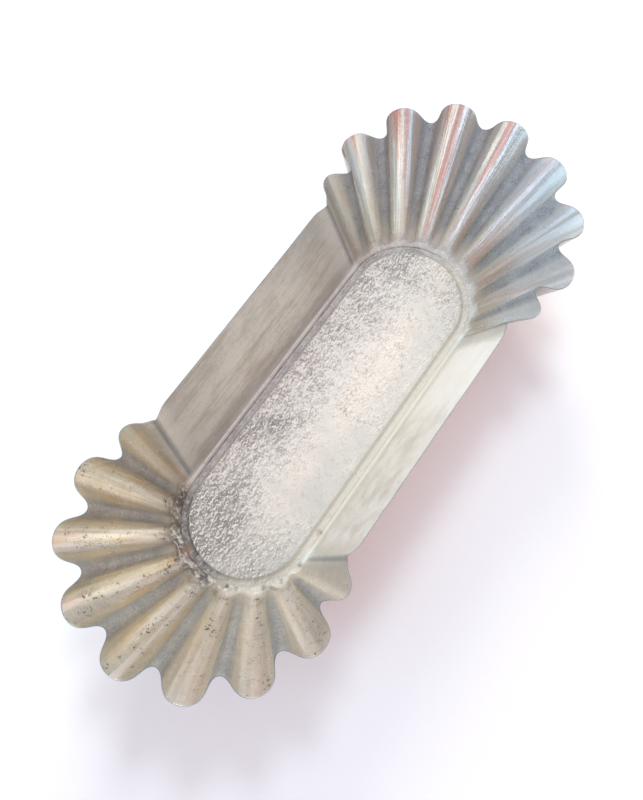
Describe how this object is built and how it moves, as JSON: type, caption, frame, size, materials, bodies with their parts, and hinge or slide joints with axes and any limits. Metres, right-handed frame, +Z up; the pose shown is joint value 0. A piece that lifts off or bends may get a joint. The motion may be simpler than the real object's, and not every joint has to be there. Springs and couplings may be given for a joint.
{
  "type": "cake mould",
  "caption": "Long pressed tinplate cake mould with a raised round-ended floor, plain sides that lean out and a fluted fan at each end, for baking a small loaf cake.",
  "frame": {"origin": "on the surface that the mould stands on, under the middle of its floor", "axes": "+X along the mould, +Y across it, +Z up out of its open top"},
  "size_m": [0.2402, 0.098, 0.045],
  "materials": {
    "tinplate": "semi-gloss tin, streaked and stained by baking",
    "floor_tin": "worn tin, mottled and finely pitted"
  },
  "bodies": {
    "root": {"floor_pan": "floor_tin", "side_wall_front": "tinplate", "side_wall_rear": "tinplate", "fluted_end_left": "tinplate", "fluted_end_right": "tinplate"}
  },
  "joints": []
}
